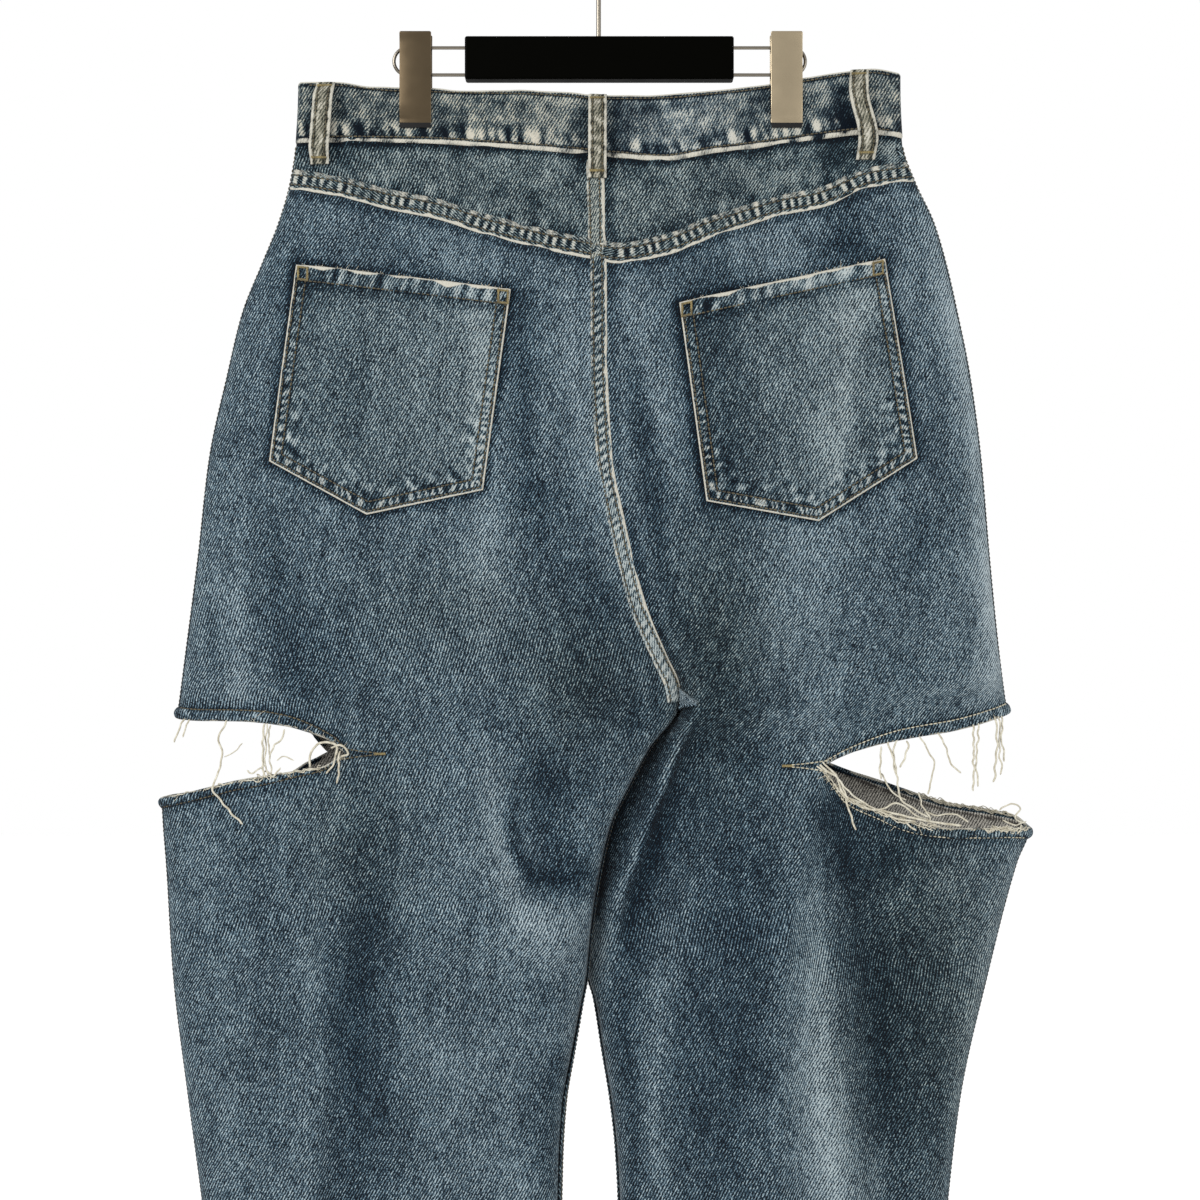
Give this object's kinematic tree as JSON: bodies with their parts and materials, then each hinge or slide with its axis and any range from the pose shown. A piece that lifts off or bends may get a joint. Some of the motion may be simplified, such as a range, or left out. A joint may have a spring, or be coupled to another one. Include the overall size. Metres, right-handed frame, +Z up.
{
  "type": "ripped jeans on a clip hanger",
  "caption": "Wide, tapered ripped jeans in washed blue denim, with hemmed and frayed rips across the thighs, hung by the waistband from a bar hanger with clips and a steel hook.",
  "frame": {"origin": "underside of the hanging hook's top, where a rail carries it", "axes": "+Z up; -Y out of the seat (the back of the jeans), +Y out of the fly; +X towards the wearer's right side"},
  "size_m": [0.6244, 0.0855, 1.1755],
  "materials": {
    "denim": "washed and worn mid-blue denim",
    "band_denim": "denim faded paler at its folds",
    "threads": "loose undyed cotton threads",
    "black_bar": "satin black lacquer",
    "bright_steel": "bright plated wire",
    "clip_steel": "satin nickel plate",
    "button": "aged nickel, plain face"
  },
  "bodies": {
    "root": {"back_left": "denim", "back_right": "denim", "belt_loop_back_centre": "band_denim", "belt_loop_back_left": "band_denim", "belt_loop_back_right": "band_denim", "belt_loop_front_left": "band_denim", "belt_loop_front_right": "band_denim", "clip_left_back": "clip_steel", "clip_left_front": "clip_steel", "clip_left_spring": "clip_steel", "clip_right_back": "clip_steel", "clip_right_front": "clip_steel", "clip_right_spring": "clip_steel", "fly": "denim", "fringe_left": "threads", "fringe_right": "threads", "front_left": "denim", "front_right": "denim", "hanger_bar": "black_bar", "hanger_hook": "bright_steel", "hanger_wire_left": "bright_steel", "hanger_wire_right": "bright_steel", "pocket_back_left": "denim", "pocket_back_right": "denim", "pocket_facing_left": "denim", "pocket_facing_right": "denim", "waist_button": "button", "waistband": "band_denim", "yoke_left": "denim", "yoke_right": "denim"}
  },
  "joints": []
}
